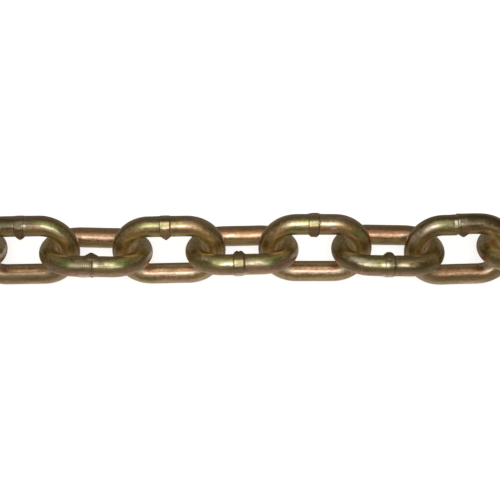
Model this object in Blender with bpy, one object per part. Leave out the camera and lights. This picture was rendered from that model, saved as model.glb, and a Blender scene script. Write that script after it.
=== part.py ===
# One foot of short-link steel chain, lying nearly straight on a level floor.
#
# Each link is one bent and butt-welded rod. Every second link leans the other way, at
# about 45 degrees, which is how a chain settles, and like a real one no link lies quite
# true. The welded bar of every link is the upper one. X runs along the chain, +Z is up,
# and the origin is on the floor under the middle of the chain. Units are metres.

import math

import bpy
from mathutils import Matrix, Vector

# Driving dimensions of the chain
WIRE_DIAMETER = 0.00714  # 9/32 in rod
INSIDE_LENGTH = 0.0254  # 1 in, so that twelve links make a foot
INSIDE_WIDTH = 0.01205
CONTACT_GAP = 0.0004  # left between links that lie true; their shifts and turns take up to 0.2 mm of it
BEND_THINNING = 0.03  # bending draws the rod out, most at the middle of each end

# How each link lies: its lean above the floor in degrees, its shift towards +Y in
# metres, and its turn to the left in degrees
LAY = (
    (45.0, 0.0000, 0.0),
    (45.5, -0.0003, -0.5),
    (45.0, -0.0002, 1.1),
    (46.0, -0.0007, -1.3),
    (46.9, -0.0001, 1.2),
    (46.1, 0.0000, 1.3),
    (47.0, 0.0006, 0.0),
    (43.3, 0.0000, -1.0),
    (41.4, 0.0002, 1.7),
    (44.5, 0.0004, -1.0),
    (45.5, 0.0001, 0.4),
    (45.0, 0.0000, 0.0),
)

# The rod's section and the bend, as flats
SECTION_SIDES = 16
BEND_SEGMENTS = 11  # odd, so that a flat lies across the middle of each end

# The butt weld in the middle of one bar: a low trimmed collar all round, and the
# ridge of flash that the trimming tool leaves on the side facing the other bar
COLLAR_WIDTH = 0.0034
COLLAR_HEIGHT = 0.00035
COLLAR_CHAMFER = 0.00025
FLASH_HEIGHT = 0.00125
FLASH_CREST = 0.0009
FLASH_SPREAD = 60  # degrees either side of straight inwards that stand at full height

# Welds differ a little from link to link: shift along the bar, and flash height
WELD_SHIFTS = (0.0002, -0.0003, 0.0004, -0.0001)
FLASH_HEIGHT_SHARES = (1.0, 1.05, 0.9)

# A polygon of the same area as the round rod: its corners and its flats
SECTION_ANGLE = 2 * math.pi / SECTION_SIDES
CORNER_RADIUS = WIRE_DIAMETER / 2 * math.sqrt(SECTION_ANGLE / math.sin(SECTION_ANGLE))
FLAT_RADIUS = CORNER_RADIUS * math.cos(SECTION_ANGLE / 2)

# The rod's middle line: half-round bends between two straight bars
BAR_SPACING = INSIDE_WIDTH + WIRE_DIAMETER
BEND_RADIUS = BAR_SPACING / 2
HALF_STEP = math.pi / BEND_SEGMENTS / 2
END_SHARE = 1 - BEND_THINNING * math.cos(HALF_STEP)  # of the rod's size that is left there
END_HALF_THICKNESS = FLAT_RADIUS * END_SHARE * math.cos(HALF_STEP)  # of the flat across each end
TIP_DISTANCE = INSIDE_LENGTH / 2 + END_HALF_THICKNESS
HALF_STRAIGHT = TIP_DISTANCE - BEND_RADIUS * math.cos(HALF_STEP)
PITCH = INSIDE_LENGTH - CONTACT_GAP

PLATED_STEEL_COLOUR = (0.36, 0.27, 0.12, 1.0)
PLATED_STEEL_ROUGHNESS = 0.3
SHARP_ANGLE = math.radians(40)


def clear_scene():
    for thing in list(bpy.data.objects):
        bpy.data.objects.remove(thing, do_unlink=True)


def new_collection(name):
    collection = bpy.data.collections.new(name)
    bpy.context.scene.collection.children.link(collection)
    return collection


def plated_steel():
    """Zinc-plated steel with a yellow chromate finish."""
    material = bpy.data.materials.new("yellow_chromate_steel")
    material.use_nodes = True
    shader = material.node_tree.nodes["Principled BSDF"]
    shader.inputs["Base Color"].default_value = PLATED_STEEL_COLOUR
    shader.inputs["Metallic"].default_value = 1.0
    shader.inputs["Roughness"].default_value = PLATED_STEEL_ROUGHNESS
    material.diffuse_color = PLATED_STEEL_COLOUR
    return material


def weld_stations(along):
    """Places along the bar and the rod's radius there, relative to its own, for the collar."""
    collar = 1 + COLLAR_HEIGHT / CORNER_RADIUS
    half = COLLAR_WIDTH / 2
    edge = half - COLLAR_CHAMFER
    crest = FLASH_CREST / 2
    return [(along + x, size) for x, size in
            ((half, 1), (edge, collar), (crest, collar), (-crest, collar), (-edge, collar), (-half, 1))]


def rod_path(along):
    """The rod's middle line in the link's own plane, once round, each point with a relative radius."""
    bends = []
    for side in (1, -1):
        bend = []
        for step in range(BEND_SEGMENTS + 1):
            angle = -math.pi / 2 + math.pi * step / BEND_SEGMENTS
            bend.append((side * (HALF_STRAIGHT + BEND_RADIUS * math.cos(angle)),
                         side * BEND_RADIUS * math.sin(angle),
                         1 - BEND_THINNING * math.cos(angle)))
        bends.append(bend)
    weld = [(x, BEND_RADIUS, size) for x, size in weld_stations(along)]
    return bends[0] + weld + bends[1]


def bent_rod(name, along):
    """The rod bent to a closed loop with the weld's collar on it, as a mesh."""
    data = bpy.data.curves.new(name, "CURVE")
    data.dimensions = "3D"
    data.twist_mode = "Z_UP"
    data.bevel_depth = CORNER_RADIUS
    data.bevel_resolution = SECTION_SIDES // 2 - 2
    path = rod_path(along)
    spline = data.splines.new("POLY")
    spline.points.add(len(path) - 1)
    for point, (x, y, size) in zip(spline.points, path):
        point.co = (x, y, 0, 1)
        point.radius = size
        point.tilt = SECTION_ANGLE / 2  # puts flats, not corners, towards the floor and the next link
    spline.use_cyclic_u = True

    curve = bpy.data.objects.new(name, data)
    bpy.context.scene.collection.objects.link(curve)
    shape = curve.evaluated_get(bpy.context.evaluated_depsgraph_get())
    mesh = bpy.data.meshes.new_from_object(shape)
    bpy.data.objects.remove(curve)
    return mesh


def draw_out_flash(mesh, along, height):
    """Draws the middle of the collar out to a ridge on the side that faces the other bar."""
    full_height = math.cos(math.radians(FLASH_SPREAD))
    for vertex in mesh.vertices:
        if vertex.co.y > 0 and abs(vertex.co.x - along) < FLASH_CREST:
            spoke = Vector((0, vertex.co.y - BEND_RADIUS, vertex.co.z)).normalized()
            facing = -spoke.y
            share = min(max(facing / full_height, 0), 1)
            vertex.co += spoke * (height - COLLAR_HEIGHT) * share


def lay_down(link, index):
    """Turns and leans the link, then sets its lowest point on the floor at its place in the chain."""
    lean, shift, turn = LAY[index]
    if index % 2 == 1:
        lean = 180 - lean
    turned = (Matrix.Rotation(math.radians(turn), 4, "Z")
              @ Matrix.Rotation(math.radians(lean), 4, "X"))
    lowest = min((turned @ vertex.co).z for vertex in link.data.vertices)
    middle = (index - (len(LAY) - 1) / 2) * PITCH
    link.matrix_world = Matrix.Translation((middle, shift, -lowest)) @ turned


def make_link(index, material, collection):
    """One link with its weld, at its place in the chain."""
    along = WELD_SHIFTS[index % len(WELD_SHIFTS)]
    height = FLASH_HEIGHT * FLASH_HEIGHT_SHARES[index % len(FLASH_HEIGHT_SHARES)]
    mesh = bent_rod("bent_rod", along)
    draw_out_flash(mesh, along, height)
    mesh.materials.append(material)
    mesh.shade_smooth()
    mesh.set_sharp_from_angle(angle=SHARP_ANGLE)

    link = bpy.data.objects.new(f"link_{index + 1:02d}", mesh)
    collection.objects.link(link)
    lay_down(link, index)


def make_chain():
    clear_scene()
    links = new_collection("steel_chain")
    material = plated_steel()
    for index in range(len(LAY)):
        make_link(index, material, links)


make_chain()
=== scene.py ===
import math

import bpy
import numpy as np
from mathutils import Matrix, Vector, noise


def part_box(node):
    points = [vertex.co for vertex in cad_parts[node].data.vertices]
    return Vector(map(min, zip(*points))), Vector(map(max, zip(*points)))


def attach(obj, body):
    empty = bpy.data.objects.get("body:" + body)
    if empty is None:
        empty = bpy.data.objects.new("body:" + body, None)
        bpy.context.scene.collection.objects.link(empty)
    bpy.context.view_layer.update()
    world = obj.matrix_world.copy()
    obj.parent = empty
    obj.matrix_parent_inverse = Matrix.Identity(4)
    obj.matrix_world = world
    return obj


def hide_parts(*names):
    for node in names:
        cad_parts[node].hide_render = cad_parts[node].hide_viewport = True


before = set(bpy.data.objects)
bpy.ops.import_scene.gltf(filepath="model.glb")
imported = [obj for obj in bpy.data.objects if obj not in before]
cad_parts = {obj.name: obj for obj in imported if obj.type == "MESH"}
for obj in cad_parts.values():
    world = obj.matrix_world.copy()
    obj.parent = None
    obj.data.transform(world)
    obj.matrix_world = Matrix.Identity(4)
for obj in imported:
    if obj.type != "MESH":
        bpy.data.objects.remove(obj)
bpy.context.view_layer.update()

mm = 0.001
tiny = 1e-9
print("stage: frame loaded")


# Node wiring: a Socket takes part in Python sums, and a Bench makes every other node

class Socket:
    def __init__(self, bench, socket):
        self.bench = bench
        self.socket = socket

    def __add__(self, other): return self.bench.sum("ADD", self, other)
    def __radd__(self, other): return self.bench.sum("ADD", other, self)
    def __sub__(self, other): return self.bench.sum("SUBTRACT", self, other)
    def __rsub__(self, other): return self.bench.sum("SUBTRACT", other, self)
    def __mul__(self, other): return self.bench.sum("MULTIPLY", self, other)
    def __rmul__(self, other): return self.bench.sum("MULTIPLY", other, self)
    def __truediv__(self, other): return self.bench.sum("DIVIDE", self, other)
    def __pow__(self, other): return self.bench.sum("POWER", self, other)
    def __neg__(self): return self.bench.sum("MULTIPLY", self, -1.0)
    def __abs__(self): return self.bench.sum("ABSOLUTE", self)


class Bench:
    def __init__(self, tree):
        self.tree = tree
        tree.nodes.clear()

    def add(self, kind, settings=None, inputs=None, output=0):
        node = self.tree.nodes.new(kind)
        for name, value in (settings or {}).items():
            if name == "stops":
                self.setStops(node.color_ramp, value)
            else:
                setattr(node, name, value)
        for name, value in (inputs or {}).items():
            self.feed(self.find(node.inputs, name), value)
        return Socket(self, self.find(node.outputs, output)) if node.outputs else None

    def find(self, sockets, name):
        if isinstance(name, int):
            return sockets[name]
        return next(s for s in sockets if name in (s.identifier, s.name))

    def feed(self, socket, value):
        if isinstance(value, Socket):
            self.tree.links.new(value.socket, socket)
        else:
            socket.default_value = value

    def setStops(self, ramp, stops):
        while len(ramp.elements) < len(stops):
            ramp.elements.new(0.5)
        for element, (place, tone) in zip(ramp.elements, stops):
            element.position = place
            element.color = colour(*tone)

    def sum(self, operation, *terms):
        return self.add("ShaderNodeMath", {"operation": operation}, dict(enumerate(terms)))

    def larger(self, a, b): return self.sum("MAXIMUM", a, b)
    def smaller(self, a, b): return self.sum("MINIMUM", a, b)

    def rise(self, value, low, high, start=0.0, end=1.0):  # eases from start to end
        return self.add("ShaderNodeMapRange", {"interpolation_type": "SMOOTHSTEP"},
                        {"Value": value, "From Min": low, "From Max": high, "To Min": start, "To Max": end})

    def band(self, value, middle, half, soft):  # 1 within half of middle
        return self.rise(abs(value - middle), half + soft, max(half - soft, 0.0))

    def ramp(self, factor, stops):
        return self.add("ShaderNodeValToRGB", {"stops": stops}, {"Fac": factor}, "Color")

    def mixColour(self, factor, a, b, blend="MIX"):
        return self.add("ShaderNodeMix", {"data_type": "RGBA", "blend_type": blend},
                        {"Factor_Float": factor, "A_Color": a, "B_Color": b}, "Result_Color")

    def vector(self, x, y, z):
        return self.add("ShaderNodeCombineXYZ", None, {0: x, 1: y, 2: z})

    def dot(self, a, b):
        return self.add("ShaderNodeVectorMath", {"operation": "DOT_PRODUCT"}, {0: a, 1: b}, "Value")

    def cloud(self, vector, scale, detail=2.0, rough=0.5, twist=0.0):  # noise about 0
        return self.add("ShaderNodeTexNoise", {"noise_dimensions": "3D"},
                        {"Vector": vector, "Scale": scale, "Detail": detail, "Roughness": rough,
                         "Distortion": twist}, "Fac") - 0.5

    def streak(self, vector, along, scale, detail, rough):  # noise about 0, drawn out along the rod
        return self.add("ShaderNodeTexNoise", {"noise_dimensions": "4D"},
                        {"Vector": vector, "W": along, "Scale": scale, "Detail": detail,
                         "Roughness": rough}, "Fac") - 0.5


def colour(red, green, blue):
    return (red, green, blue, 1.0)


def around(stops, start):  # stops given in degrees, for a ramp that runs once round from start
    return [((degrees - start) / 360, tone) for degrees, tone in stops]


# The links' shape, in each link's own frame: X along, Y towards the welded bar, Z up.
# Around the rod, "turn" is in degrees: 0 outward, 90 up, 180 on the inner side.

rod = {
    "radius": 3.53 * mm,
    "barSpacing": 19.19 * mm,  # between the middles of the two bars
    "thinning": 0.03,  # of the rod, at the middle of each end
    "endMargin": 0.02 * mm,  # inside the solid's own end
    "snug": 0.08 * mm,  # the bends meet more closely than the solids' do
    "floorMargin": 0.03 * mm,
    "sides": 84,
    "weldStep": 0.07 * mm,
    "weldReach": 2.9 * mm,  # finely cut either side of the weld
    "barStep": 0.45 * mm,
    "bendStep": math.radians(3),
    "waviness": 0.022 * mm,
    "wavinessSize": 4.0 * mm,
    "lumpSize": 0.9 * mm,
    "lumpFrom": 0.2,  # mm proud of the rod, where lumps begin
    "lumpOver": 0.5,  # mm more, where they are full
    "stepSoft": 0.2,  # mm either side of a step in the bar
    "stepBefore": 3.0 * mm,  # a stepped bar eases back over this much of the bar
    "stepBeyond": 4.0 * mm,  # and this much of the bend
    "stepSink": 0.15,  # share of the step by which the whole bar sinks
}

# How each link lies, as in the solids: lean in degrees, shift in mm, turn to the left in degrees
lay = {
    "link_01": (45.0, 0.0, 0.0), "link_02": (45.5, -0.3, -0.5), "link_03": (45.0, -0.2, 1.1),
    "link_04": (46.0, -0.7, -1.3), "link_05": (46.9, -0.1, 1.2), "link_06": (46.1, 0.0, 1.3),
    "link_07": (47.0, 0.6, 0.0), "link_08": (43.3, 0.0, -1.0), "link_09": (41.4, 0.2, 1.7),
    "link_10": (44.5, 0.4, -1.0), "link_11": (45.5, 0.1, 0.4), "link_12": (45.0, 0.0, 0.0),
}

lowBox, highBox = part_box("link_01")
bendRadius = rod["barSpacing"] / 2
tipRadius = rod["radius"] * (1 - rod["thinning"])
halfStraight = (highBox.x - lowBox.x) / 2 - rod["endMargin"] - bendRadius - tipRadius

# One weld for each link, in millimetres and degrees; along is to the right in the photograph's view
plainWeld = {
    "shift": 0.0,
    "collar": 0.08, "collarHalf": 1.6, "collarSoft": 0.3, "collarEdge": 0.06,
    "facet": 54.0, "facetWidth": 38.0, "facetCut": 0.9,  # a trimmed flat on the collar, between low corners
    "grooveLeft": 0.04, "grooveLeftWidth": 0.14, "grooveLeftGap": 0.14,
    "grooveRight": 0.10, "grooveRightWidth": 0.24, "grooveRightGap": 0.16,
    "flash": 1.12, "flashFace": 86.0, "flashFull": 121.0,  # its height, and the turns of its cut face
    "flashTip": 0.1, "flashRoot": 1.65, "flashLean": 0.0, "flashRound": 1.0,
    "notch": 0.0, "notchHalf": 0.35,  # parts the flash in two lumps
    "belly": 0.14, "bellyAt": 0.0, "bellyHalf": 2.2, "bellyOnCollar": 0.4,  # the last is a share of it
    "burr": 0.0, "burrFrom": -3.2, "burrLean": 0.0, "burrCut": 3.0, "burrEdge": (0.15, -0.05),
    "stepOut": 0.0, "stepAt": 0.0,  # the right half of the bar stands out a little from the left one
    "lumps": 0.06,
}
welds = {
    "link_01": {"shift": 0.2, "flashTip": 0.5},
    "link_02": {"shift": -0.3, "flashTip": 0.7, "flashRound": 0.7, "facet": 36.0},
    "link_03": {
        "collar": 0.04, "collarHalf": 1.4, "collarSoft": 0.5, "facet": 48.0, "facetWidth": 26.0,
        "facetCut": 0.4, "grooveRight": 0.02, "flash": 1.05, "flashTip": 0.3, "flashRoot": 1.5,
        "flashRound": 0.8},
    "link_04": {
        "shift": -0.07, "collar": 0.02, "collarHalf": 0.2, "facetCut": 0.0, "grooveLeft": 0.0,
        "grooveRight": 0.12, "grooveRightWidth": 0.14, "flash": 1.1, "flashTip": 0.4, "flashRoot": 2.4,
        "flashLean": -0.6, "belly": 0.5, "bellyAt": -2.9, "bellyHalf": 2.0},
    "link_05": {
        "shift": -0.8, "facet": 52.0, "facetWidth": 31.0, "facetCut": 1.0,
        "flashTip": 0.15, "flashLean": 0.2},
    "link_06": {
        "shift": -1.12, "collarHalf": 1.56, "facet": 39.0, "facetWidth": 33.0, "grooveLeft": 0.09,
        "grooveRight": 0.22, "grooveRightWidth": 0.3, "flash": 1.08, "flashTip": 0.8, "flashRoot": 2.1,
        "flashLean": 0.2, "flashRound": 0.75, "notch": 0.22, "belly": 0.35},
    "link_07": {
        "shift": -0.77, "facet": 54.5, "facetWidth": 27.0, "facetCut": 1.0, "grooveRightWidth": 0.4,
        "flash": 0.78, "flashTip": 0.8, "flashLean": 0.2, "flashRound": 0.6, "burr": 0.22, "burrLean": 0.6,
        "burrCut": 2.0},
    "link_08": {
        "shift": -0.29, "collarHalf": 1.43, "collarSoft": 0.8, "facetCut": 0.0, "grooveLeft": 0.0,
        "grooveRight": 0.2, "grooveRightWidth": 0.34, "flash": 1.08, "flashTip": 0.6, "flashRoot": 1.9,
        "flashLean": -0.2, "flashRound": 0.7, "belly": 0.35, "bellyAt": -1.0},
    "link_09": {
        "shift": -2.2, "collar": 0.0, "collarHalf": 1.1, "collarSoft": 0.5, "facetCut": 0.3,
        "grooveLeft": 0.03, "grooveRight": 0.03, "flash": 0.95, "flashTip": 0.25, "flashRoot": 1.8,
        "flashLean": 2.5, "stepOut": 0.34, "stepAt": 0.3},
    "link_10": {"shift": -0.1, "facet": 36.0},
    "link_11": {"shift": 0.2, "flashTip": 0.15},
    "link_12": {"shift": -0.2, "flashTip": 0.6, "notch": 0.15, "facet": 36.0},
}

# What all welds share: the turns between which each form comes in, or goes
weldTurns = {
    "cornerSpread": 26.0,  # past the trimmed flat
    "softSpread": 20.0,
    "faceReach": 40.0,  # before the flash's cut face
    "flashIn": (66.0, 80.0), "flashLeanIn": (90.0, 150.0),
    "bellyIn": (5.0, 45.0), "bellyOut": (125.0, 90.0),  # counted downwards
    "burrIn": (75.0, 30.0),
    "grooveIn": (-25.0, 10.0), "grooveOut": (160.0, 115.0),
}


def ease(value, low, high):
    t = np.clip((value - low) / (high - low), 0, 1)
    return t * t * (3 - 2 * t)


def hump(value, half):
    return np.exp(-(value / half) ** 2)


def cosine(degrees):
    return np.cos(np.radians(degrees))


def grooves(weld):  # depth, middle and width of the groove at either end of the collar
    return ((weld["grooveLeft"], -weld["collarHalf"] - weld["grooveLeftGap"], weld["grooveLeftWidth"]),
            (weld["grooveRight"], weld["collarHalf"] + weld["grooveRightGap"], weld["grooveRightWidth"]))


def weldHeight(weld, along, turn):
    # how far the weld stands proud of the rod, in mm
    radius = rod["radius"] / mm
    away = along - weld["shift"]
    inner = np.abs(turn)

    # the collar is round but for one trimmed flat, whose corners stand a little proud
    collar = radius + weld["collar"]
    offFacet = np.abs(turn - weld["facet"])
    half = weld["facetWidth"] / 2
    corner = collar * (1 + weld["facetCut"] * (1 / cosine(half) - 1))
    flat = corner * cosine(half) / cosine(np.minimum(offFacet, half))
    bulge = corner + (collar - corner) * ease(offFacet, half, half + weldTurns["cornerSpread"])
    trimmed = np.where(offFacet < half, flat, bulge) if weld["facetCut"] > 0 else collar + 0 * turn
    ring = trimmed - radius
    soft = weld["collarSoft"] * ease(offFacet, half, half + weldTurns["softSpread"]) + weld["collarEdge"]
    onCollar = ease(np.abs(away), weld["collarHalf"] + soft * 0.5, weld["collarHalf"] - soft * 0.5)

    # the flash has one cut face, from the collar's top to its tip, and falls away to both sides
    faceTurns = weld["flashFull"] - weld["flashFace"]
    offFace = np.clip(inner - weld["flashFace"], -weldTurns["faceReach"], faceTurns)
    face = (radius + weld["flash"]) * cosine(faceTurns) / cosine(offFace) - radius
    lean = weld["flashLean"] * ease(inner, *weldTurns["flashLeanIn"])
    slope = (weld["flashRoot"] - np.abs(away - lean)) / (weld["flashRoot"] - weld["flashTip"])
    proud = np.maximum(np.minimum(face, weld["flash"]) - ring, 0)
    flash = (proud * np.clip(slope, 0, 1) ** weld["flashRound"]
             * (1 - weld["notch"] * hump(away, weld["notchHalf"])) * ease(inner, *weldTurns["flashIn"]))

    groove = (sum(depth * hump(away - middle, width) for depth, middle, width in grooves(weld))
              * (1 - onCollar) * ease(turn, *weldTurns["grooveIn"]) * ease(turn, *weldTurns["grooveOut"]))
    belly = weld["belly"] * ease(-turn, *weldTurns["bellyIn"]) * ease(-turn, *weldTurns["bellyOut"])
    swell = (weld["bellyOnCollar"] * onCollar
             + (1 - weld["bellyOnCollar"]) * hump(away - weld["bellyAt"], weld["bellyHalf"]))
    burr = (weld["burr"] * ease(inner, *weldTurns["burrIn"])
            * ease(away, weld["burrFrom"], weld["burrLean"])
            * ease(away - weld["burrCut"], *weld["burrEdge"]))
    return ring * onCollar + flash - groove + belly * swell + burr


def rodRings(weld, side):
    # the middle line once round, as (x, y, outward angle), cut finely at the weld
    reach, fineStep, barStep, bendStep = rod["weldReach"], rod["weldStep"], rod["barStep"], rod["bendStep"]
    fine = np.arange(-reach, reach + tiny, fineStep) + side * weld["shift"] * mm
    coarseLeft = np.arange(-halfStraight, fine[0] - fineStep, barStep)
    coarseRight = -np.arange(-halfStraight, -fine[-1] - fineStep, barStep)[::-1]
    weldedBar = np.concatenate([coarseLeft, fine, coarseRight])
    plainBar = np.linspace(halfStraight, -halfStraight, int(2 * halfStraight / barStep))
    bendReach = bendRadius - rod["snug"]
    rings = []
    for way, bar in ((1, weldedBar), (-1, plainBar)):  # each bar, and the bend that follows it
        start = way * math.pi / 2
        rings += [(x, way * bendRadius, start) for x in bar]
        for angle in start - np.arange(bendStep, math.pi - bendStep / 2, bendStep):
            x = way * halfStraight + bendReach * math.cos(angle)
            rings.append((x, bendRadius * math.sin(angle), angle))
    return np.array(rings)


def linkMesh(name, weld, side, seed, stance):
    rings = rodRings(weld, side)
    count, sides = len(rings), rod["sides"]
    turn = np.linspace(-180, 180, sides, endpoint=False)[None, :]
    x, y, angle = (rings[:, i:i + 1] for i in range(3))
    outX, outY = np.cos(angle), np.sin(angle)
    along = side * x / mm
    weldHalf = np.where(y > 0, 1.0, 0.0)
    onWeldBar = np.where(np.abs(x) < halfStraight + tiny, weldHalf, 0.0)
    height = weldHeight(weld, along, turn) * onWeldBar

    # in a stepped bar the part past the step stands out, and both ends ease back to the bends
    barEnd = halfStraight + rod["stepBeyond"], halfStraight - rod["stepBefore"]
    fromStep = along - weld["shift"] - weld["stepAt"]
    past = ease(fromStep, -rod["stepSoft"], rod["stepSoft"]) * ease(side * x, *barEnd)
    sunk = rod["stepSink"] * ease(np.abs(x), *barEnd)
    stepped = (past - sunk) * weldHalf * weld["stepOut"] * mm

    radius = rod["radius"] * (1 - rod["thinning"] * np.abs(outX)) + height * mm
    out = radius * np.cos(np.radians(turn)) + stepped
    up = radius * np.sin(np.radians(turn))
    points = np.stack([x + out * outX, y + out * outY, up + 0 * x], axis=-1).reshape(-1, 3)

    # rolled steel is never quite even: a slight waviness, and small lumps on the weld
    middle = np.stack([x + 0 * turn, y + 0 * turn, 0 * x + 0 * turn], axis=-1).reshape(-1, 3)
    lumpy = np.clip((height - rod["lumpFrom"]) / rod["lumpOver"], 0, 1) * weld["lumps"] * mm
    for point, centre, lump in zip(points, middle, lumpy.reshape(-1)):
        wave = noise.noise(Vector(point / rod["wavinessSize"]) + seed) * rod["waviness"]
        if lump:
            wave += noise.noise(Vector(point / rod["lumpSize"]) - seed) * lump
        point += (point - centre) / rod["radius"] * wave
    points = points @ np.array(stance).T

    ring = np.arange(count)[:, None] * sides
    after = (np.arange(count)[:, None] + 1) % count * sides
    step = np.arange(sides)[None, :]
    beside = (step + 1) % sides
    faces = np.stack([ring + step, ring + beside, after + beside, after + step], axis=-1).reshape(-1, 4)
    mesh = bpy.data.meshes.new(name)
    mesh.from_pydata(points.tolist(), [], faces.tolist())
    mesh.update()
    mesh.shade_smooth()
    return mesh


# The finish: a chromate film over zinc-plated steel, whose colour changes round the rod. The colours round
# the rod also hold painted highlight and painted shade, lighter or darker by turn to place each bar's glint
# under the overhead light.

weldedBarFilmAndHighlight = [  # by turn, in degrees
    (-180, (0.52, 0.40, 0.18)),
    (-90, (0.52, 0.38, 0.28)),
    (-38, (0.90, 0.67, 0.50)),
    (-22, (0.80, 0.59, 0.43)),
    (-6, (0.80, 0.59, 0.41)),
    (8, (0.55, 0.41, 0.24)),
    (20, (0.31, 0.23, 0.11)),
    (32, (0.34, 0.26, 0.12)),
    (43, (0.57, 0.46, 0.21)),
    (60, (0.56, 0.44, 0.18)),
    (72, (0.74, 0.56, 0.27)),
    (86, (0.66, 0.47, 0.21)),
    (100, (0.54, 0.39, 0.16)),
    (114, (0.45, 0.38, 0.13)),
    (126, (0.38, 0.31, 0.10)),
    (138, (0.24, 0.18, 0.06)),
    (180, (0.52, 0.40, 0.18)),
]
plainBarFilmAndHighlight = [
    (-180, (0.82, 0.60, 0.27)),
    (-166, (0.33, 0.26, 0.11)),
    (-150, (0.46, 0.37, 0.17)),
    (-60, (0.56, 0.40, 0.26)),
    (48, (0.96, 0.72, 0.54)),
    (62, (0.87, 0.72, 0.54)),
    (84, (0.85, 0.68, 0.37)),
    (98, (0.73, 0.52, 0.27)),
    (112, (0.74, 0.49, 0.32)),
    (124, (0.72, 0.43, 0.27)),
    (140, (0.74, 0.40, 0.20)),
    (155, (0.98, 0.59, 0.33)),
    (168, (1.0, 0.68, 0.42)),
    (180, (0.82, 0.60, 0.27)),
]

greenGold, leafGreen, olive = (0.70, 0.74, 0.27), (0.34, 0.43, 0.11), (0.44, 0.46, 0.13)
# cream and blush are painted highlight tones, laid where the overhead light glints
highlightCream, highlightBlush, gold = (0.99, 0.92, 0.62), (0.99, 0.80, 0.60), (0.88, 0.62, 0.17)
amber, salmon, rose = (0.74, 0.46, 0.20), (0.88, 0.52, 0.35), (0.66, 0.40, 0.35)
russet, umber, chalk = (0.62, 0.32, 0.20), (0.36, 0.27, 0.13), (0.88, 0.82, 0.70)
# the darkest tone on the next line only darkens parts of the bars where tints lay it
toffee, bronze, darkBrown = (0.44, 0.26, 0.11), (0.56, 0.28, 0.14), (0.22, 0.17, 0.09)

# The noise it is mottled with: scale, detail, roughness and distortion
grains = {
    "mottle": (0.9, 3.0, 0.6),
    "grain": (3.2, 3.0, 0.6),
    "speck": (1.7, 5.0, 0.75),
    "streaks": (1.3, 4.0, 0.65),
    "fineStreaks": (4.5, 3.0, 0.6),
    "drift": (0.11, 2.0, 0.5, 0.4),
    "smudges": (0.28, 4.0, 0.65, 0.6),
    "patches": (0.5,),
    "flakes": (0.8, 5.0, 0.7),
}

# What all links share; a pair of numbers is where a mask begins and where it is full
plating = {
    "roughness": 0.31, "mottleRough": 0.12, "grainRough": 0.05,
    "scuffRough": 0.2, "flashRough": 0.08, "rubbedRough": 0.2,
    "scuffUnmetal": 0.7, "rubbedUnmetal": 0.35, "leastMetal": 0.2,
    "coatRoughness": 0.15, "coatIor": 1.65,
    "scuffUncoat": 0.6, "flashUncoat": 0.6, "mattUncoat": 0.7, "bendUncoat": 0.25,
    "bendFrom": (1.0, 6.0),  # in mm past the bar's end
    "lumaWeights": (0.3, 0.6, 0.1), "mattLuma": (0.30, 0.12),  # the film's darkest parts shine least
    "barSides": (-5.0, 5.0), "weldBarSide": (3.0, 6.0),  # in mm across the link, plain to welded bar
    "rubbedLitOver": (0.8, 3.6), "rubbedLitTurn": (110.0, 144.0),  # in mm past the bar's end, and degrees
    "looseFade": (6.0, 1.0), "looseRub": 0.2,
    "markWander": 0.35, "markLine": (-0.2, 0.9), "markPatches": (-0.10, 0.10),
    "markEndSoft": 0.5, "markSideSoft": 14.0,  # in mm, and degrees
    "flashSoft": 0.15, "flashEdge": (-2, 5),  # in mm, and degrees from the trimmed flat's end
    "grooveHalf": 0.5, "grooveSoft": 0.6,  # shares of the groove's width
    "smudgeFrom": (0.02, 0.22), "flakeFrom": (0.15, 0.25), "scuffBreaks": (-0.16, 0.02),
    "pitFrom": (0.0, 0.12),
    "edgeWander": 1.6,  # mm of mottle's pull on a patch's ends
    "edgeSoft": 0.55, "sideSoft": 0.6,  # shares of a patch's half length and half width
    "streakAlong": 0.06, "streakAcross": 2.2,  # streaks are drawn out along the rod
    "drawnBy": (34.0, 22.0, 10.0),  # degrees that streaks, mottle and fine streaks shift the colours by
    "shadedBy": (1.2, 1.1, 1.4),  # how far the same three lighten and darken them
    "raisedBy": (0.026, 0.026, 0.006),  # and how far they raise and lower the surface, in mm
    "grainRise": 0.004, "flashGrainRise": 0.03, "markDepth": 0.012, "scuffDepth": 0.010,
    "shadeLimits": (0.5, 1.35),
    "filmDrift": 30.0,  # degrees of turn that large patches shift the colours by
    "smudges": 0.45,
    "flakes": 0.5,
    # the rubbed tone is partly wear and partly painted light, lifting the shade where the links meet
    "rubbedLitTone": (0.93, 0.81, 0.58), "rubbedLitCover": 0.95,
    "markCover": 0.75, "flashCover": 0.75,
    "pitTone": (0.20, 0.12, 0.08), "pitCover": 0.6,
    # the groove tone is painted shade in the grooves beside the collar
    "grooveShadeTone": (0.12, 0.09, 0.04), "grooveShadeCover": 0.7,
    "scuffCover": 0.8,
}
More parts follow.
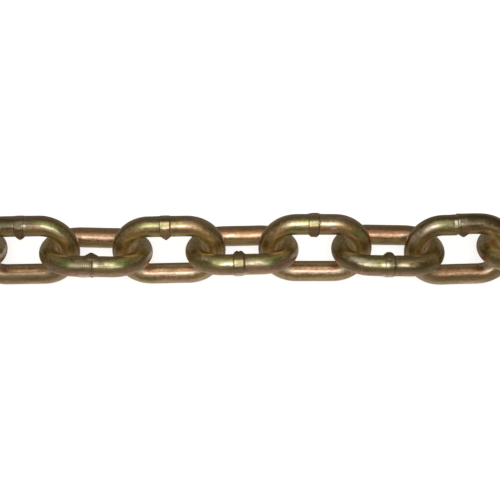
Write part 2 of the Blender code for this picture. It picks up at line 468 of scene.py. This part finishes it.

# What differs. Tints and scuffs are laid on one by one: (place along the rod, turn, half length,
# half width, tone, strength), in mm and degrees, and a scuff has no tone. The place is to the
# right of the bar's middle in the photograph's view, and runs on into the bends.
# Tints are partly the film's own colours and partly painted highlight and painted shade: bright patches
# where the overhead light glints, dark ones where a glint is to fade.
plainFinish = {
    "tone": 1.0,
    "flashTone": (0.44, 0.30, 0.19),
    "dieMarks": 0.5, "diePitch": 0.5, "dieTone": (0.16, 0.10, 0.06),
    "dieLeft": (-7.7, -3.2), "dieRight": (2.6, 4.5),  # from and to, along the bar
    "dieTurn": (66.0, 34.0),  # middle and half width of the marked strip
    "looseEnd": 0,  # -1 or 1 where the left or right end holds no other link and is hardly rubbed
    "weldTintsAndPaintedLight": [], "plainTintsAndPaintedLight": [],  # on the welded bar and on the plain one
    "weldScuffs": [], "plainScuffs": [],
}
finishes = {
    "link_01": {"looseEnd": -1},
    "link_02": {"weldScuffs": [(20.0, 17, 4.2, 11, 1.0)]},
    "link_03": {
        "tone": 0.9, "flashTone": (0.34, 0.25, 0.15),
        "dieMarks": 0.14, "diePitch": 0.85, "dieTone": (0.9, 0.8, 0.6), "dieLeft": (-9.0, -2.0),
        "weldTintsAndPaintedLight": [
            (5.2, 50, 3.6, 16, (0.28, 0.18, 0.09), 0.95), (1.8, 62, 0.6, 10, highlightCream, 0.95),
            (7.6, 40, 1.8, 7, leafGreen, 0.9), (11.5, 70, 3.6, 9, highlightCream, 0.9),
            (11.4, 48, 3.0, 8, leafGreen, 0.8), (16.9, 80, 1.6, 11, amber, 0.9),
            (-6.3, 50, 5.4, 32, (0.15, 0.12, 0.06), 0.95), (-0.2, 48, 1.3, 17, (0.22, 0.17, 0.12), 0.95),
            (0.2, 76, 1.1, 14, (0.14, 0.11, 0.06), 0.95), (6.4, 88, 4.0, 14, russet, 0.4)],
        "plainTintsAndPaintedLight": [
            (-1.0, 126, 14.0, 16, (0.30, 0.18, 0.085), 0.95), (3.0, 116, 9.0, 9, umber, 0.7),
            (0.0, 88, 14.0, 26, umber, 0.45), (-8.2, 168, 2.6, 14, chalk, 0.9)],
        "weldScuffs": [(0.0, 48, 0.8, 7, 0.3)],
        "plainScuffs": [(3.2, 56, 1.8, 6, 0.6)]},
    "link_04": {
        "dieMarks": 0.42, "diePitch": 0.75, "dieTone": (0.84, 0.78, 0.52), "dieLeft": (-6.8, -0.5),
        "dieTurn": (34.0, 14.0),
        "weldTintsAndPaintedLight": [
            (-12.0, 96, 5.0, 13, darkBrown, 0.75), (12.0, 96, 5.0, 13, darkBrown, 0.75),
            (0.0, 76, 13.0, 8, (0.48, 0.33, 0.16), 0.6), (0.0, 112, 9.0, 10, (0.24, 0.18, 0.06), 0.75),
            (-3.6, 36, 4.0, 26, darkBrown, 0.9), (-8.0, 42, 2.2, 12, (0.26, 0.32, 0.09), 0.9),
            (5.5, 24, 5.0, 8, umber, 0.8), (-7.0, 42, 1.5, 17, (0.22, 0.24, 0.08), 0.85),
            (1.3, 42, 0.9, 14, highlightCream, 1.0), (6.2, 46, 2.0, 13, (0.98, 0.94, 0.56), 1.0),
            (3.5, 46, 0.8, 18, umber, 0.75), (8.8, 27, 2.8, 8, umber, 0.85),
            (8.8, 62, 3.0, 12, greenGold, 0.8), (9.8, 42, 2.0, 13, (0.25, 0.32, 0.08), 0.9),
            (-4.9, -24, 0.9, 11, (0.84, 0.26, 0.15), 0.9),
            (5.1, 6, 4.0, 8, olive, 0.6), (-9.5, -20, 3.0, 14, rose, 0.6)],
        "plainTintsAndPaintedLight": [
            (0.0, 126, 14.0, 20, (0.54, 0.27, 0.12), 0.85), (0.0, 154, 14.0, 13, (0.60, 0.37, 0.25), 0.85),
            (-6.1, 150, 1.7, 8, highlightBlush, 0.6), (6.4, 140, 2.2, 26, umber, 0.7),
            (-0.9, 202, 9.0, 9, leafGreen, 0.6)],
        "weldScuffs": [(-2.9, -40, 2.0, 18, 1.0), (21.1, 17, 4.2, 11, 1.0), (-3.9, 32, 2.6, 5, 0.3)]},
    "link_05": {
        "tone": 1.06, "flashTone": (0.70, 0.49, 0.36),
        "dieMarks": 1.0, "diePitch": 0.45, "dieLeft": (-7.2, -1.7),
        "weldTintsAndPaintedLight": [
            (-2.4, 56, 1.0, 15, (0.26, 0.22, 0.09), 0.9), (-9.0, 52, 2.8, 17, (0.31, 0.29, 0.11), 0.85),
            (-5.0, 48, 2.8, 9, greenGold, 0.6), (-5.0, 84, 3.4, 8, bronze, 0.6),
            (4.0, 43, 1.9, 6, gold, 0.9), (5.2, 61, 3.2, 9, highlightBlush, 0.85), (5.6, 86, 3.4, 11, russet, 0.9),
            (4.9, 114, 4.4, 10, olive, 0.9), (-4.6, 113, 3.4, 11, olive, 0.9), (7.9, 12, 4.5, 13, rose, 0.6),
            (9.5, 50, 3.1, 16, (0.38, 0.23, 0.10), 0.9), (13.6, 70, 2.8, 16, amber, 0.8),
            (-13.4, 70, 4.0, 20, amber, 0.6)],
        "plainTintsAndPaintedLight": [
            (0.0, 131, 13.0, 8, toffee, 0.75), (1.0, 116, 12.0, 9, highlightBlush, 0.7),
            (-2.0, 101, 4.0, 7, (0.62, 0.28, 0.24), 0.7), (-7.5, 84, 4.0, 12, leafGreen, 0.8),
            (3.0, 80, 5.0, 11, russet, 0.4)],
        "weldScuffs": [(13.2, 66, 0.5, 5, 0.6)],
        "plainScuffs": [(2.7, 57, 2.6, 5, 0.6)]},
    "link_06": {
        "dieLeft": (-10.4, -8.6), "dieTurn": (44.0, 16.0),
        "weldTintsAndPaintedLight": [
            (-11.5, 96, 4.5, 13, darkBrown, 0.75), (12.5, 96, 4.5, 13, darkBrown, 0.75),
            (0.0, 78, 13.0, 8, (0.48, 0.33, 0.16), 0.6), (0.0, 112, 9.0, 10, (0.24, 0.18, 0.06), 0.75),
            (-9.0, 24, 2.6, 9, umber, 0.85), (-6.4, 54, 4.0, 12, greenGold, 0.95),
            (-4.4, 40, 2.0, 9, highlightCream, 0.9), (4.8, 60, 3.2, 9, greenGold, 0.85),
            (4.0, 43, 2.5, 9, highlightBlush, 0.95), (7.0, 24, 3.0, 9, umber, 0.85),
            (9.6, 38, 2.4, 16, (0.26, 0.34, 0.09), 0.95),
            (11.7, 10, 3.6, 15, rose, 0.8), (-3.5, -16, 5.0, 11, rose, 0.6),
            (-12.3, 14, 4.0, 12, olive, 0.6), (-3.4, 10, 4.0, 6, olive, 0.7)],
        "plainTintsAndPaintedLight": [
            (0.0, 120, 14.0, 20, (0.54, 0.28, 0.13), 0.8), (-4.0, 154, 2.4, 7, highlightBlush, 0.7),
            (0.0, 203, 9.0, 9, leafGreen, 0.5)],
        "weldScuffs": [
            (-0.3, -42, 2.2, 17, 1.0), (17.2, 20, 2.0, 9, 0.9), (20.7, 17, 4.2, 11, 1.0),
            (-11.6, 52, 1.0, 9, 0.6)]},
    "link_07": {
        "weldTintsAndPaintedLight": [
            (-6.5, 57, 3.2, 12, highlightCream, 0.8), (-3.7, 44, 1.1, 13, greenGold, 0.9),
            (-12.5, 66, 3.0, 15, salmon, 0.8), (-5.5, 90, 4.6, 14, olive, 0.9),
            (4.4, 57, 2.8, 10, highlightBlush, 0.8), (10.2, 56, 3.2, 17, toffee, 0.9), (1.3, 54, 0.5, 20, umber, 0.8),
            (8.2, 34, 3.0, 10, (0.30, 0.24, 0.11), 0.8), (4.1, 90, 3.4, 14, russet, 0.6),
            (13.7, 72, 1.8, 11, leafGreen, 0.9), (14.1, 97, 2.6, 11, salmon, 0.6),
            (7.0, 14, 4.0, 13, rose, 0.6), (-16.5, 86, 2.5, 14, amber, 0.7),
            (4.2, 42, 3.0, 7, umber, 0.75)],
        "plainTintsAndPaintedLight": [
            (0.0, 132, 13.0, 8, toffee, 0.7), (0.0, 116, 12.0, 9, highlightBlush, 0.75),
            (-4.6, 100, 5.0, 7, russet, 0.6), (0.9, 141, 5.0, 5, salmon, 0.7),
            (0.4, 66, 12.0, 12, olive, 0.4)],
        "weldScuffs": [(5.8, 80, 0.9, 5, 0.9), (-7.0, 118, 1.2, 5, 0.3)]},
    "link_08": {
        "tone": 0.86, "dieMarks": 0.2,
        "weldTintsAndPaintedLight": [
            (-12.5, 94, 4.5, 15, darkBrown, 0.8), (12.0, 96, 5.0, 13, darkBrown, 0.75),
            (0.0, 76, 13.0, 9, (0.46, 0.31, 0.14), 0.6), (0.0, 112, 9.0, 10, (0.20, 0.15, 0.05), 0.8),
            (-15.0, -4, 3.5, 20, (0.66, 0.52, 0.32), 0.7), (11.8, -4, 3.5, 20, (0.58, 0.47, 0.28), 0.7),
            (-6.5, 22, 5.5, 9, umber, 0.85), (-8.6, 52, 3.2, 16, highlightCream, 1.0),
            (-4.4, 48, 2.2, 12, leafGreen, 0.6), (-4.9, 66, 3.4, 8, greenGold, 0.7),
            (-0.2, 50, 1.5, 34, (0.25, 0.22, 0.09), 0.9), (2.2, 40, 0.9, 22, darkBrown, 0.85),
            (8.8, 38, 4.2, 16, (0.23, 0.185, 0.09), 0.95), (5.0, 22, 4.4, 9, (0.22, 0.17, 0.08), 0.9),
            (9.2, 54, 2.6, 7, amber, 0.7), (-1.9, 36, 1.2, 13, highlightCream, 0.95),
            (4.3, 40, 1.4, 9, (0.98, 0.74, 0.48), 0.9), (-4.9, -16, 3.0, 10, rose, 0.8),
            (-4.9, 8, 4.0, 8, olive, 0.6)],
        "plainTintsAndPaintedLight": [
            (0.0, 126, 14.0, 24, (0.44, 0.21, 0.09), 0.9), (6.1, 152, 1.5, 9, highlightBlush, 0.8),
            (0.9, 200, 9.0, 14, umber, 0.8)],
        "weldScuffs": [(-1.3, -42, 1.9, 17, 1.0), (-10.6, 56, 2.0, 12, 0.9), (-6.7, 40, 1.2, 6, 0.4)]},
    "link_09": {
        "tone": 0.88, "dieMarks": 0.2,
        "weldTintsAndPaintedLight": [
            (4.6, 52, 4.6, 38, (0.15, 0.11, 0.05), 0.95), (11.0, 44, 4.6, 22, (0.18, 0.14, 0.07), 0.95),
            (11.0, 74, 5.0, 8, amber, 0.6), (13.0, 100, 6.0, 16, umber, 0.7),
            (-10.6, 60, 3.4, 15, highlightBlush, 0.95), (-14.4, 46, 4.0, 14, highlightBlush, 0.9),
            (-14.0, 88, 4.5, 13, umber, 0.75), (-4.6, 58, 3.4, 24, (0.17, 0.14, 0.06), 0.9),
            (-6.3, 44, 3.0, 10, greenGold, 0.4), (-2.2, 54, 0.9, 12, highlightCream, 0.9),
            (0.4, 45, 1.6, 17, (0.20, 0.145, 0.10), 0.9), (-6.3, 92, 4.0, 18, olive, 0.8)],
        "plainTintsAndPaintedLight": [
            (0.0, 122, 14.0, 28, (0.45, 0.24, 0.115), 0.85), (0.0, 108, 12.0, 8, (0.30, 0.17, 0.07), 0.8),
            (11.8, 128, 2.2, 12, highlightBlush, 0.95), (8.8, 168, 2.6, 14, chalk, 0.9),
            (-5.7, 86, 4.0, 12, olive, 0.7)],
        "weldScuffs": [(0.1, 38, 1.0, 7, 0.4)],
        "plainScuffs": [(3.8, 57, 3.4, 5, 0.6)]},
    "link_12": {"looseEnd": 1},
}


class RodPoint:  # where a point of the surface is on the rod, in mm, and the noise that it is finished with
    def __init__(self, bench, weld, side, seed, stance):
        own = bench.add("ShaderNodeTexCoord", None, None, "Object")
        place = bench.add("ShaderNodeVectorMath", {"operation": "SCALE"}, {"Vector": own, "Scale": 1 / mm})
        self.moved = bench.add("ShaderNodeVectorMath", {"operation": "ADD"}, {0: place, 1: tuple(seed * 7)})
        self.x, y, z = (bench.dot(place, tuple(stance.col[axis])) for axis in range(3))

        straight, bendSize, radius = halfStraight / mm, bendRadius / mm, rod["radius"] / mm
        self.over = bench.larger(abs(self.x) - straight, 0.0)  # past the bar's end
        out = ((self.over * self.over + y * y) ** 0.5 - bendSize) / radius
        up = z / radius
        self.turn = bench.sum("ARCTAN2", up, out) * (180 / math.pi)
        bendAngle = bench.sum("ARCTAN2", self.over, y)  # 0 on the welded bar, pi on the plain one
        self.right = self.x * side
        self.along = self.right - weld["shift"]
        onBar = bench.larger(bench.smaller(self.right, straight), -straight)
        way = bench.sum("SIGN", self.right)
        self.weldRun = onBar + way * bendAngle * bendSize
        self.plainRun = onBar + way * (math.pi - bendAngle) * bendSize
        self.weldSide = bench.rise(y, *plating["barSides"])
        self.onWeldBar = bench.rise(y, *plating["weldBarSide"])

        self.mottle = bench.cloud(self.moved, *grains["mottle"])
        self.grain = bench.cloud(self.moved, *grains["grain"])
        self.speck = bench.cloud(self.moved, *grains["speck"])
        slow, fast = plating["streakAlong"], plating["streakAcross"]
        section = bench.vector(onBar * slow + seed.x, out * fast, up * fast)
        slowRun, fastRun = bendAngle * (bendSize * slow) + seed.y, bendAngle * (bendSize * slow * 2) + seed.z
        self.streaks = bench.streak(section, slowRun, *grains["streaks"])
        self.fineStreaks = bench.streak(section, fastRun, *grains["fineStreaks"])
        self.drawn = self.turn + self.uneven(plating["drawnBy"])

    def uneven(self, amounts):
        return self.streaks * amounts[0] + self.mottle * amounts[1] + self.fineStreaks * amounts[2]


def spot(bench, at, run, place, turn, half, halfTurn):  # a patch with drawn-out, broken edges
    return (bench.band(run + at.mottle * plating["edgeWander"], place, half, half * plating["edgeSoft"])
            * bench.band(at.drawn, turn, halfTurn, halfTurn * plating["sideSoft"]))


# the film's colour round the rod, with painted highlight and painted shade in its ramps and in the tints
# laid over them
def filmAndPaintedLight(bench, at, look):
    drift = bench.cloud(at.moved, *grains["drift"]) * plating["filmDrift"]
    film = (at.drawn + drift + 180) / 360
    welded, plain = (bench.ramp(film, around(stops, -180)) for stops in (weldedBarFilmAndHighlight, plainBarFilmAndHighlight))
    base = bench.mixColour(at.weldSide, plain, welded)
    for run, tints in ((at.weldRun, look["weldTintsAndPaintedLight"]), (at.plainRun, look["plainTintsAndPaintedLight"])):
        for *shape, tone, strength in tints:
            base = bench.mixColour(spot(bench, at, run, *shape) * strength, base, colour(*tone))
    smudge = bench.rise(bench.cloud(at.moved, *grains["smudges"]), *plating["smudgeFrom"])
    base = bench.mixColour(smudge * plating["smudges"], base, colour(*umber))
    darkest, lightest = plating["shadeLimits"]
    shade = bench.larger(bench.smaller(1 + at.uneven(plating["shadedBy"]), lightest), darkest)
    shade = shade * look["tone"]
    return bench.mixColour(1.0, base, bench.vector(shade, shade, shade), "MULTIPLY")


# where the links bear on each other the film is laid pale: partly wear, and partly painted light that lifts
# the shade between the links
def rubbedAndLitMask(bench, at, look):  # where the links bear on each other
    return (bench.rise(at.over, *plating["rubbedLitOver"]) * bench.rise(abs(at.turn), *plating["rubbedLitTurn"])
            * bench.rise(at.right * look["looseEnd"], *plating["looseFade"], plating["looseRub"]))


def dieMask(bench, at, look):  # fine lines that the bending dies leave across the bar, beside the weld
    wavy = (at.x + at.mottle * plating["markWander"]) * (2 * math.pi / look["diePitch"])
    beside = (bench.band(at.along, (start + end) / 2, (end - start) / 2, plating["markEndSoft"])
              for start, end in (look["dieLeft"], look["dieRight"]))
    patchy = bench.rise(bench.cloud(at.moved, *grains["patches"]), *plating["markPatches"])
    strip = bench.band(at.turn, *look["dieTurn"], plating["markSideSoft"])
    return (bench.rise(bench.sum("SINE", wavy), *plating["markLine"]) * bench.larger(*beside) * patchy
            * at.onWeldBar * strip * look["dieMarks"])


def flashMask(bench, at, weld):
    facetEnd = weld["facet"] + weld["facetWidth"] / 2
    edge = (facetEnd + degrees for degrees in plating["flashEdge"])
    return (bench.band(at.along, weld["flashLean"], weld["flashRoot"], plating["flashSoft"])
            * at.onWeldBar * bench.rise(abs(at.turn), *edge))


# painted shade: the grooves beside the collar are darkened in colour
def grooveShadeMask(bench, at, weld):
    both = (bench.band(at.along, middle, width * plating["grooveHalf"], width * plating["grooveSoft"])
            for depth, middle, width in grooves(weld))
    return (bench.larger(*both) * at.onWeldBar * bench.rise(at.turn, *weldTurns["grooveIn"])
            * bench.rise(at.turn, *weldTurns["grooveOut"]))


def scuffMask(bench, at, look):  # flakes and scuffs, where the film is rubbed through to pale zinc
    scuffs = bench.rise(bench.cloud(at.moved, *grains["flakes"]), *plating["flakeFrom"]) * plating["flakes"]
    broken = bench.rise(at.speck, *plating["scuffBreaks"])
    for run, patches in ((at.weldRun, look["weldScuffs"]), (at.plainRun, look["plainScuffs"])):
        for *shape, strength in patches:
            scuffs = bench.larger(scuffs, spot(bench, at, run, *shape) * broken * strength)
    return scuffs


def platedSteel(name, look, weld, side, seed, stance):
    material = bpy.data.materials.new(name)
    material.use_nodes = True
    bench = Bench(material.node_tree)
    at = RodPoint(bench, weld, side, seed, stance)
    rubbedAndLit = rubbedAndLitMask(bench, at, look)
    marks = dieMask(bench, at, look)
    flash = flashMask(bench, at, weld)
    scuffs = scuffMask(bench, at, look)

    base = filmAndPaintedLight(bench, at, look)
    matt = bench.rise(bench.dot(base, plating["lumaWeights"]), *plating["mattLuma"])
    layers = (
        # partly wear, partly painted light where the links meet
        (rubbedAndLit * plating["rubbedLitCover"], plating["rubbedLitTone"]),
        (marks * plating["markCover"], look["dieTone"]),
        (flash * plating["flashCover"], look["flashTone"]),
        (flash * bench.rise(at.speck, *plating["pitFrom"]) * plating["pitCover"], plating["pitTone"]),
        # painted shade in the grooves
        (grooveShadeMask(bench, at, weld) * plating["grooveShadeCover"], plating["grooveShadeTone"]),
        (scuffs * plating["scuffCover"], chalk),
    )
    for mask, tone in layers:
        base = bench.mixColour(mask, base, colour(*tone))

    metallic = 1 - scuffs * plating["scuffUnmetal"] - rubbedAndLit * plating["rubbedUnmetal"]
    rough = (plating["roughness"] + at.mottle * plating["mottleRough"] + at.grain * plating["grainRough"]
             + scuffs * plating["scuffRough"] + flash * plating["flashRough"]
             + rubbedAndLit * plating["rubbedRough"])
    bent = bench.rise(at.over, *plating["bendFrom"])
    coat = (1 - scuffs * plating["scuffUncoat"] - flash * plating["flashUncoat"] - rubbedAndLit
            - matt * plating["mattUncoat"] - bent * plating["bendUncoat"])
    relief = (at.uneven(plating["raisedBy"])
              + at.grain * (plating["grainRise"] + flash * plating["flashGrainRise"])
              - marks * plating["markDepth"] - scuffs * plating["scuffDepth"])
    bump = bench.add("ShaderNodeBump", None, {"Strength": 1.0, "Distance": mm, "Height": relief})
    shader = bench.add("ShaderNodeBsdfPrincipled", None, {
        "Base Color": base, "Metallic": bench.larger(metallic, plating["leastMetal"]),
        "Roughness": rough, "Normal": bump,
        "Coat Weight": bench.larger(coat, 0.0), "Coat Roughness": plating["coatRoughness"],
        "Coat IOR": plating["coatIor"]})
    bench.add("ShaderNodeOutputMaterial", None, {"Surface": shader})
    return material


def makeLink(index, node):
    low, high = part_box(node)
    side = 1 if index % 2 == 0 else -1  # every second link leans the other way
    lean, shift, turn = lay[node]
    stance = (Matrix.Rotation(math.radians(turn + (0 if side > 0 else 180)), 3, "Z")
              @ Matrix.Rotation(math.radians(lean), 3, "X"))
    weld = {**plainWeld, **welds[node]}
    look = {**plainFinish, **finishes.get(node, {})}
    seed = Vector((index * 3.7 + 1.3, index * 1.9 - 4.1, index * 2.3 + 0.7))  # no two links are alike
    link = bpy.data.objects.new(f"plated_{node}", linkMesh(f"plated_{node}", weld, side, seed, stance))
    bpy.context.scene.collection.objects.link(link)
    height = bendRadius * math.sin(math.radians(lean)) + rod["radius"] + rod["floorMargin"]
    link.location = ((low.x + high.x) / 2, shift * mm, height)
    link.data.materials.append(platedSteel(f"yellowChromate_{node}", look, weld, side, seed, stance))
    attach(link, node)
    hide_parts(node)


for index, node in enumerate(sorted(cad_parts)):
    makeLink(index, node)
print("stage: links made")


# Studio: a pale floor, an overhead softbox, and a camera above the chain

studio = {
    "floorSize": 16.0,
    "floorDrop": 0.05 * mm,
    "floorGlow": 0.85,
    "floorTones": ((0.88, 0.88, 0.88), (0.92, 0.92, 0.92)),
    "keyRadiance": 1.5,
    "keySize": (0.46, 0.23),
    "keyHeight": 0.65,
    "keyBack": -0.13,
    "sideColour": (0.20, 0.175, 0.13),
    "lookAt": (-9.76 * mm, 0.14 * mm, 10.3 * mm),
    "elevation": math.radians(76.7),
    "distance": 384.5 * mm,
    "lens": 80.7,
}
# the room's glow from the far floor (below 0) over the ceiling (90) to the near floor (above 180)
roomGlow = [
    (-90, (0.12, 0.11, 0.09)),
    (-5, (0.13, 0.12, 0.09)),
    (20, (0.17, 0.15, 0.11)),
    (38, (0.22, 0.19, 0.14)),
    (52, (0.34, 0.31, 0.25)),
    (68, (0.68, 0.66, 0.60)),
    (80, (0.85, 0.84, 0.80)),
    (108, (0.76, 0.75, 0.71)),
    (122, (0.52, 0.48, 0.40)),
    (138, (0.25, 0.21, 0.165)),
    (168, (0.19, 0.16, 0.12)),
    (200, (0.37, 0.30, 0.25)),
    (250, (0.42, 0.35, 0.30)),
    (270, (0.18, 0.15, 0.12)),
]


def makeFloor():
    bpy.ops.mesh.primitive_plane_add(size=studio["floorSize"], location=(0, 0, -studio["floorDrop"]))
    floor = bpy.context.object
    floor.name = "studioFloor"
    material = bpy.data.materials.new("paleFloor")
    material.use_nodes = True
    bench = Bench(material.node_tree)
    own = bench.add("ShaderNodeTexCoord", None, None, "Object")
    base = bench.mixColour(bench.cloud(own, 3.0) + 0.5, *(colour(*tone) for tone in studio["floorTones"]))
    shader = bench.add("ShaderNodeBsdfPrincipled", None, {
        "Base Color": base, "Roughness": 0.9, "Emission Color": base,
        "Emission Strength": studio["floorGlow"]})
    bench.add("ShaderNodeOutputMaterial", None, {"Surface": shader})
    floor.data.materials.append(material)
    floor.visible_glossy = False  # the room stands for it in the bars, so that their edges stay dark


def makeRoom():
    world = bpy.data.worlds.new("studioRoom")
    bpy.context.scene.world = world
    world.use_nodes = True
    bench = Bench(world.node_tree)
    way = bench.add("ShaderNodeTexCoord", None, None, "Generated")
    x, y, z = (bench.dot(way, axis) for axis in ((1, 0, 0), (0, 1, 0), (0, 0, 1)))
    # turned by 90 degrees so that the seam of the angle falls straight down
    angle = bench.sum("ARCTAN2", -y, z) * (180 / math.pi) + 90
    glow = bench.ramp((angle + 90) / 360, around(roomGlow, -90))
    tone = bench.mixColour(bench.rise(abs(x), 0.18, 0.6), glow, colour(*studio["sideColour"]))
    background = bench.add("ShaderNodeBackground", None, {"Color": tone})
    bench.add("ShaderNodeOutputWorld", None, {"Surface": background})


def makeKeyLight():
    width, depth = studio["keySize"]
    data = bpy.data.lights.new("keySoftbox", "AREA")
    data.shape = "RECTANGLE"
    data.size, data.size_y = width, depth
    data.energy = studio["keyRadiance"] * math.pi * width * depth
    light = bpy.data.objects.new("keySoftbox", data)
    bpy.context.scene.collection.objects.link(light)
    light.location = (0, studio["keyBack"], studio["keyHeight"])


def makeCamera():
    data = bpy.data.cameras.new("camera")
    data.lens = studio["lens"]
    camera = bpy.data.objects.new("camera", data)
    bpy.context.scene.collection.objects.link(camera)
    back = Vector((0, -math.cos(studio["elevation"]), math.sin(studio["elevation"])))
    camera.location = Vector(studio["lookAt"]) + back * studio["distance"]
    camera.rotation_euler = (math.pi / 2 - studio["elevation"], 0, 0)
    bpy.context.scene.camera = camera


makeFloor()
makeRoom()
makeKeyLight()
makeCamera()
bpy.context.scene.view_settings.view_transform = "Standard"
print("stage: studio made")
